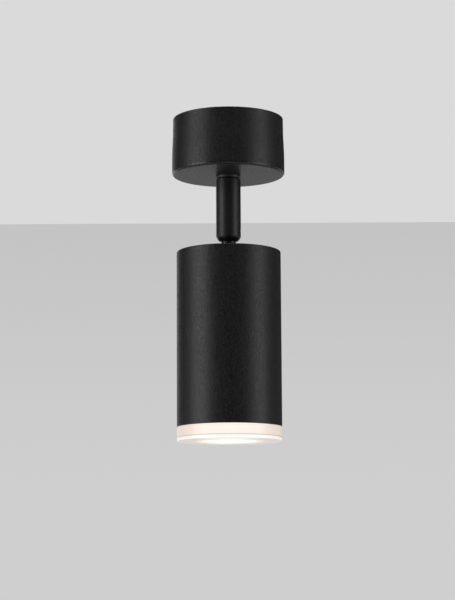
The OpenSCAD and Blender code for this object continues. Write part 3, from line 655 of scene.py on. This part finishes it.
def ring_profile():
    """The ring's section: visible band, flange with its mouth, hollow, and the spigot inside the head."""
    s = sizes()
    low, high = box_height(RING_LOW, RING_HIGH)
    outer, bore = float(RING_HIGH[0]), float(HEAD_HIGH[0]) - s.head_wall - 0.1 * MM
    top, edge, shoulder, fillet = low + s.ring_height, 0.35 * MM, 0.15 * MM, 0.8 * MM
    return outline([(s.ring_hollow, high), (bore, high), (bore, top)],
                   arc((outer - shoulder, top - shoulder), shoulder, 90, 0, 3),
                   arc((outer - edge, low + edge), edge, 0, -90, 6),
                   arc((s.ring_mouth + edge, low + edge), edge, -90, -180, 6),
                   [(s.ring_mouth, low + s.ring_flange)],
                   arc((s.ring_hollow - fillet, low + s.ring_flange + fillet), fillet, -90, 0, 5))


def lamp_profile():
    """The lamp's cup: front rim, a lip round the lens, a rounded cup and a straight base."""
    low, high = box_height(LAMP_LOW, LAMP_HIGH)
    outer, lens = float(LAMP_HIGH[0]), float(LENS_HIGH[0]) + 0.05 * MM
    base, base_z, lip = 9.5 * MM, high - 13 * MM, 0.4 * MM
    cup_low, cup_inner = low + 4 * MM, base + 1.5 * MM
    turn = np.radians(np.linspace(0, 90, 24))
    cup = np.column_stack([cup_inner + (outer - cup_inner) * np.cos(turn),
                           cup_low + (base_z - cup_low) * np.sin(turn)])
    return outline([(0, float(LENS_HIGH[2])), (lens, float(LENS_HIGH[2])), (lens, low + 0.2 * MM)],
                   arc((outer - lip, low + lip), lip, -90, 0, 5),
                   cup, [(base, base_z), (base, high - 0.5 * MM), (base - 0.5 * MM, high), (0, high)])


def lens_surface(rows=72, columns=SEGMENTS):
    """The lamp's front: rings of small domes, depth = a |sin(k r)| |sin(n t)|, on a disc that is flat outside."""
    low, high = box_height(LENS_LOW, LENS_HIGH)
    edge = float(LENS_HIGH[0])
    r = np.linspace(0, edge, rows)[:, None]
    t = np.linspace(0, 2 * np.pi, columns, endpoint=False)[None, :]
    relief = 0.25 * MM * np.abs(np.sin(np.pi * r / LENS_RING)) * np.abs(np.sin(LENS_DOMES * t))
    relief *= (r < edge - 2.6 * MM) * (r > 2.4 * MM)
    front = np.stack([r * np.cos(t), r * np.sin(t), low + relief], -1)
    back = np.stack([r * np.cos(t), r * np.sin(t), high + 0 * r * t], -1)[::-1]
    vertices = np.concatenate([front, back]).reshape(-1, 3)
    return vertices, grid_faces(2 * rows, columns, False, True)


def dress(material, *nodes):
    """Gives CAD nodes a material."""
    for name in nodes:
        mesh = frame["nodes"][name].data
        mesh.materials.clear()
        mesh.materials.append(material)


def plane(name, corners, material):
    """A flat stage surface through four corners."""
    mesh = bpy.data.meshes.new(name)
    mesh.from_pydata(corners, [], [(0, 1, 2, 3)])
    piece = linked(name, mesh)
    piece.data.materials.append(material)
    return piece


def backdrop_paint(name, low, high, low_z, high_z):
    """A tone that only the camera sees, and only from the front: `low` at low_z, running to `high` at high_z."""
    f = Finish(name)
    height = f.parts(f.place())[2].ramp(low_z, high_z)
    glow = f.node("ShaderNodeEmission", values={"Color": f.mix(height, low, high)})
    seen = f.node("ShaderNodeLightPath")["Is Camera Ray"] * (1 - f.node("ShaderNodeNewGeometry")["Backfacing"])
    shown = f.mix_shaders(seen, f.node("ShaderNodeBsdfTransparent"), glow)
    f.feed(f.nodes["Material Output"].inputs["Surface"], shown[0])
    return f.material


def floor_paint(colour, shown):
    """A plain matt floor, which the camera sees mostly as one tone, with some of the light and shadow on it."""
    f = Finish("floor_paint", Base_Color=colour, Roughness=0.8, Specular_IOR_Level=0.2)
    glow = f.node("ShaderNodeEmission", values={"Color": shown})
    evenness = 0.75
    seen = f.node("ShaderNodeLightPath")["Is Camera Ray"] * evenness
    mixed = f.mix_shaders(seen, Outputs(f, f.shader), glow)
    f.feed(f.nodes["Material Output"].inputs["Surface"], mixed[0])
    return f.material


def room_light(studio, shown):
    """A world that the camera sees as one tone. It lights the pieces dimly, but is bright low down behind them."""
    world = bpy.data.worlds.new("room")
    world.use_nodes = True
    tree = Tree(world.node_tree)
    _, y, z = tree.parts(tree.node("ShaderNodeTexCoord")["Generated"])
    low_behind = (1 - z.ramp(-0.16, 0.02)) * y.ramp(0.0, 0.6)
    level = studio.room + studio.bounce * low_behind + studio.sky * z.ramp(0.3, 0.8)
    lit = tree.node("ShaderNodeBackground", values={"Color": (1, 1, 1), "Strength": level})
    seen = tree.node("ShaderNodeBackground", values={"Color": shown, "Strength": 1.0})
    mixed = tree.mix_shaders(tree.node("ShaderNodeLightPath")["Is Camera Ray"], lit, seen)
    tree.feed(tree.nodes["World Output"].inputs["Surface"], mixed[0])
    return world


def soft_box(name, azimuth, distance, height, width, tall, power, aim):
    """An area lamp, at an azimuth in degrees to the right of the camera's side, that looks at aim."""
    lamp = bpy.data.lights.new(name, "AREA")
    lamp.shape, lamp.size, lamp.size_y, lamp.energy = "RECTANGLE", width, tall, power
    turn = math.radians(azimuth)
    spot = np.array([distance * math.sin(turn), -distance * math.cos(turn), height])
    back = spot - np.asarray(aim)
    back /= np.linalg.norm(back)
    right = np.cross([0, 0, 1], back)
    right /= np.linalg.norm(right)
    up = np.cross(back, right)
    place = Matrix(np.column_stack([right, up, back]).tolist()).to_4x4()
    place.translation = spot.tolist()
    linked(name, lamp).matrix_world = place


# Operators


class SPOTLIGHT_OT_stage(bpy.types.Operator):
    """Camera, lamps, room light, floor, wall and ceiling"""

    bl_idname = "spotlight.stage"
    bl_label = "Stage"

    def execute(self, context):
        studio, t = context.scene.spotlight_studio, tones()
        camera = linked("camera", bpy.data.cameras.new("camera"))
        camera.data.lens, camera.data.sensor_width, camera.data.sensor_fit = studio.lens, 36.0, "AUTO"
        camera.data.clip_start = 0.05
        look_up = Matrix.Rotation(math.radians(90 + studio.pitch), 4, "X")
        lean = Matrix.Rotation(math.radians(-studio.roll), 4, "Z")
        camera.matrix_world = Matrix.Translation(studio.camera) @ look_up @ lean
        context.scene.camera = camera
        context.scene.view_settings.view_transform = "Standard"

        r, y, low, top = ROOM, WALL_Y, FLOOR_Z, CEILING_Z
        plane("wall", [(-r, y, low), (r, y, low), (r, y, 0), (-r, y, 0)],
              backdrop_paint("wall_paint", tuple(t.wall_low), tuple(t.wall), *WALL_TONES))
        plane("ceiling", [(-r, -r, top), (-r, y, top), (r, y, top), (r, -r, top)],
              backdrop_paint("ceiling_paint", tuple(t.ceiling), tuple(t.ceiling), 0, 1))
        plane("floor", [(-r, -r, low), (r, -r, low), (r, r, low), (-r, r, low)],
              floor_paint(tuple(t.floor), tuple(t.wall_low)))

        aim = (0, 0, 0.5 * (CANOPY_HIGH[2] + RING_LOW[2]))
        for name, place in LAMPS.items():
            soft_box(name, *place, getattr(studio, name), aim)
        context.scene.world = room_light(studio, tuple(t.wall))
        return {"FINISHED"}


class SPOTLIGHT_OT_canopy(bpy.types.Operator):
    """The canopy's shell, its two countersunk screws and the collar under it"""

    bl_idname = "spotlight.canopy"
    bl_label = "Canopy"

    def execute(self, context):
        s = sizes()
        coat, steel = FINISHES["coat"], FINISHES["blackened"]
        shell = put_in("canopy_shell", *turned(canopy_profile(), segments=FINE_SEGMENTS), "canopy", coat)
        face = canopy_radius(s.side_screw_drop)
        play = 0.08 * MM
        hole = screw_profile(s.countersink + play, s.screw_shank + 0.1 * MM, 4 * MM)
        hole, hole_faces = turned(hole, closed=False, segments=64)
        cap, cap_faces = rod(s.countersink + play, -0.001 * MM, 1 * MM)
        screw, screw_faces = turned(screw_profile(s.countersink, s.screw_shank, 5 * MM), closed=False, segments=64)
        key, key_faces = hexagon(SOCKET, -1 * MM, 1 * MM)
        holes, screws, sockets = [], [], []
        for side in (1, -1):
            place, sunk = (side * face, 0, -s.side_screw_drop), (side * (face - 0.02 * MM), 0, -s.side_screw_drop)
            holes += [(along_x(hole, place, side), hole_faces), (along_x(cap, place, side), cap_faces)]
            screws.append((along_x(screw, sunk, side), screw_faces))
            sockets.append((along_x(key, place, side), key_faces))
        cut(shell, holes)
        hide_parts("canopy_cup")
        heads = put_in("canopy_screw_pair", *joined(*screws), "canopy", steel)
        cut(heads, sockets)
        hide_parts("canopy_screws")

        shape, faces = turned(collar_profile())
        low, high = float(CANOPY_LOW[2]) + 0.9 * MM, float(COLLAR_HIGH[2]) - 0.5 * MM
        shape = threaded(shape, s.nipple, s.thread_pitch, 0.35 * MM, low, high)
        collar = put_in("stem_collar", shape, faces, "canopy", coat, sharp=30)
        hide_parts("swivel_collar")
        return {"FINISHED"}


class SPOTLIGHT_OT_wiring(bpy.types.Operator):
    """What the canopy holds: bracket, terminal block, earth tags, nuts, washers and leads"""

    bl_idname = "spotlight.wiring"
    bl_label = "Wiring"

    def execute(self, context):
        steel, brass = FINISHES["zinc"], FINISHES["brass"]
        dress(steel, "ceiling_bracket", "terminal_screws", "block_screw", "nipple_nut", "lock_washer")
        dress(brass, "earth_screw", "terminal_sleeves", "swivel_nut")
        dress(FINISHES["tinned"], "earth_tags")
        dress(FINISHES["nylon"], "terminal_block")
        dress(FINISHES["insulation"], "canopy_leads")
        dress(FINISHES["earth"], "earth_lead")
        return {"FINISHED"}


class SPOTLIGHT_OT_stem(bpy.types.Operator):
    """The stem with its milled slot, the washer above it and the tilt screw, whose head ends flush with the stem's
    side, at x = sqrt(r^2 - y^2)"""

    bl_idname = "spotlight.stem"
    bl_label = "Stem"

    def execute(self, context):
        s = sizes()
        low, high = box_height(STEM_LOW, STEM_HIGH)
        outer = float(STEM_HIGH[0])
        coat = FINISHES["coat"]
        sleeve = put_in("stem_sleeve", *turned(stem_profile(), closed=False, segments=160), "stem", coat)
        pivot = (0, 0, PIVOT_Z)
        pocket, pocket_faces = rod(s.pocket, -s.neck_slot, s.neck_slot, 96)
        swing, swing_faces = rod(s.neck_slot, 0, 2 * outer, 96)
        bore, bore_faces = rod(TILT_SHANK + TILT_PLAY, TILT_WALL - outer, 2 * outer, 48)
        seat, seat_faces = rod(TILT_HEAD + TILT_PLAY, outer - TILT_SEAT, 2 * outer, 64)
        x, y, z = swing.T
        cutters = [
            rod(s.stem_bore, PIVOT_Z + s.pocket - 2 * MM, high + 1 * MM, 128),
            (along_x(pocket, pivot), pocket_faces),
            (np.column_stack([x, z, -y]) + np.array(pivot), swing_faces),
            rod(s.neck_slot, low - 1 * MM, PIVOT_Z, 96),
            slab((-s.neck_slot, 0, low - 1 * MM), (s.neck_slot, 2 * outer, PIVOT_Z)),
            (along_x(bore, pivot), bore_faces),
            (along_x(seat, pivot), seat_faces),
        ]
        cut(sleeve, cutters)
        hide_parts("stem_tube")

        wash_low, wash_high = box_height(WASHER_LOW, WASHER_HIGH)
        edge, hole = 0.12 * MM, s.stem_bore + 0.1 * MM
        rim = float(WASHER_HIGH[0]) - edge
        washer = outline([(hole, wash_high), (rim, wash_high)], arc((rim, wash_high - edge), edge, 90, 0, 3),
                         arc((rim, wash_low + edge), edge, 0, -90, 3), [(hole, wash_low)])
        ring = put_in("groove_ring", *turned(washer), "stem", FINISHES["black_nylon"])
        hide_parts("groove_washer")

        head_x, end_x, tip = outer - TILT_SEAT, TILT_WALL + 0.1 * MM - outer, 0.3 * MM
        rings = [(r, outer) for r in np.linspace(0, TILT_HEAD, 12)]
        profile = outline(rings, [(TILT_HEAD, head_x), (TILT_SHANK, head_x), (TILT_SHANK, end_x + tip),
                                  (TILT_SHANK - tip, end_x), (0, end_x)])
        shape, faces = turned(profile, closed=False, segments=64)
        shape = along_x(shape, pivot)
        shape[:, 0] = np.minimum(shape[:, 0], np.sqrt((outer - TILT_PLAY) ** 2 - shape[:, 1] ** 2))
        screw = put_in("tilt_screw_body", shape, faces, "stem", FINISHES["blackened"])
        key, key_faces = hexagon(SOCKET, head_x + 0.4 * MM, head_x + 3 * MM)
        cut(screw, [(along_x(key, pivot), key_faces)])
        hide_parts("tilt_screw")

        dress(FINISHES["brass"], "swivel_bush")
        dress(FINISHES["spring"], "disc_spring")
        dress(FINISHES["zinc"], "stop_pin")
        dress(FINISHES["blackened"], "tilt_washers")
        dress(FINISHES["insulation"], "stem_leads")
        return {"FINISHED"}


class SPOTLIGHT_OT_head(bpy.types.Operator):
    """The head's tube, the knuckle that carries it, and what the tube holds"""

    bl_idname = "spotlight.head"
    bl_label = "Head"

    def execute(self, context):
        coat = FINISHES["coat"]
        tube_piece = put_in("head_tube", *turned(head_profile(), segments=FINE_SEGMENTS), "head", coat, sharp=30)
        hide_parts("head_housing")
        dress(coat, "tilt_knuckle")
        dress(FINISHES["zinc"], "knuckle_washer", "knuckle_nut", "lamp_bridge", "holder_screws")
        dress(FINISHES["steatite"], "lamp_holder", "holder_cover")
        dress(FINISHES["insulation"], "head_leads")
        return {"FINISHED"}


class SPOTLIGHT_OT_lamp(bpy.types.Operator):
    """The reflector lamp: cup, pins and front"""

    bl_idname = "spotlight.lamp"
    bl_label = "Lamp"

    def execute(self, context):
        shape = turned(lamp_profile(), closed=False)
        cup = put_in("lamp_cup", *shape, "lamp", FINISHES["lamp_aluminium"], sharp=30)
        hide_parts("lamp_body")
        front = put_in("lamp_front", *lens_surface(), "lamp", FINISHES["lens"], sharp=60)
        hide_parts("lamp_lens")
        dress(FINISHES["nickel"], "lamp_pins")
        return {"FINISHED"}


class SPOTLIGHT_OT_ring(bpy.types.Operator):
    """The lit acrylic ring and its rubber seal"""

    bl_idname = "spotlight.ring"
    bl_label = "Front ring"

    def execute(self, context):
        shape = turned(ring_profile(), segments=FINE_SEGMENTS)
        ring = put_in("acrylic_ring", *shape, "ring", FINISHES["acrylic"], sharp=30)
        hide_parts("front_ring")
        dress(FINISHES["rubber"], "ring_seal")
        return {"FINISHED"}


FINISHES = {}


def mix_finishes():
    """Makes each finish once, from the tones."""
    t = tones()
    FINISHES.update(
        coat=satin_black(tuple(t.coat)),
        blackened=bare_metal("blackened_steel", (0.06, 0.06, 0.062), 0.38),
        zinc=bare_metal("zinc_steel", (0.62, 0.63, 0.65), 0.3),
        brass=bare_metal("brass", (0.72, 0.53, 0.24), 0.25),
        spring=bare_metal("spring_steel", (0.35, 0.35, 0.37), 0.3),
        tinned=bare_metal("tinned_copper", (0.72, 0.71, 0.68), 0.35),
        nickel=bare_metal("nickel", (0.72, 0.70, 0.66), 0.18),
        lamp_aluminium=bare_metal("lamp_aluminium", (0.66, 0.66, 0.67), 0.4),
        nylon=moulded("white_nylon", (0.80, 0.80, 0.77), 0.4),
        black_nylon=moulded("black_nylon", (0.02, 0.02, 0.02), 0.5),
        insulation=moulded("lead_insulation", (0.78, 0.78, 0.75), 0.45),
        earth=moulded("earth_insulation", (0.42, 0.58, 0.05), 0.45),
        steatite=moulded("steatite", (0.80, 0.77, 0.68), 0.6, 0.2 * MM, 0.03 * MM),
        rubber=moulded("black_rubber", (0.02, 0.02, 0.02), 0.6),
        acrylic=lit_acrylic(t),
        lens=lit_lens(t),
    )


class SPOTLIGHT_PT_panel(bpy.types.Panel):
    """Lists the spotlight's operators"""

    bl_label = "Spotlight"
    bl_space_type = "VIEW_3D"
    bl_region_type = "UI"
    bl_category = "Spotlight"

    def draw(self, context):
        for operator in OPERATORS:
            self.layout.operator(operator.bl_idname)


OPERATORS = (
    SPOTLIGHT_OT_stage,
    SPOTLIGHT_OT_canopy,
    SPOTLIGHT_OT_wiring,
    SPOTLIGHT_OT_stem,
    SPOTLIGHT_OT_head,
    SPOTLIGHT_OT_lamp,
    SPOTLIGHT_OT_ring,
)
SETTINGS = {
    "spotlight_sizes": SpotlightSizes,
    "spotlight_tones": SpotlightTones,
    "spotlight_studio": SpotlightStudio,
}


def register():
    for group in SETTINGS.values():
        bpy.utils.register_class(group)
    for name, group in SETTINGS.items():
        setattr(bpy.types.Scene, name, bpy.props.PointerProperty(type=group))
    for kind in (*OPERATORS, SPOTLIGHT_PT_panel):
        bpy.utils.register_class(kind)


def unregister():
    for kind in reversed((*OPERATORS, SPOTLIGHT_PT_panel)):
        bpy.utils.unregister_class(kind)
    for name, group in SETTINGS.items():
        delattr(bpy.types.Scene, name)
        bpy.utils.unregister_class(group)


def main():
    """Builds the scene."""
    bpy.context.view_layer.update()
    register()
    mix_finishes()
    bpy.ops.spotlight.stage()
    bpy.ops.spotlight.canopy()
    bpy.ops.spotlight.wiring()
    bpy.ops.spotlight.stem()
    bpy.ops.spotlight.head()
    bpy.ops.spotlight.lamp()
    bpy.ops.spotlight.ring()


if __name__ == "__main__":
    main()
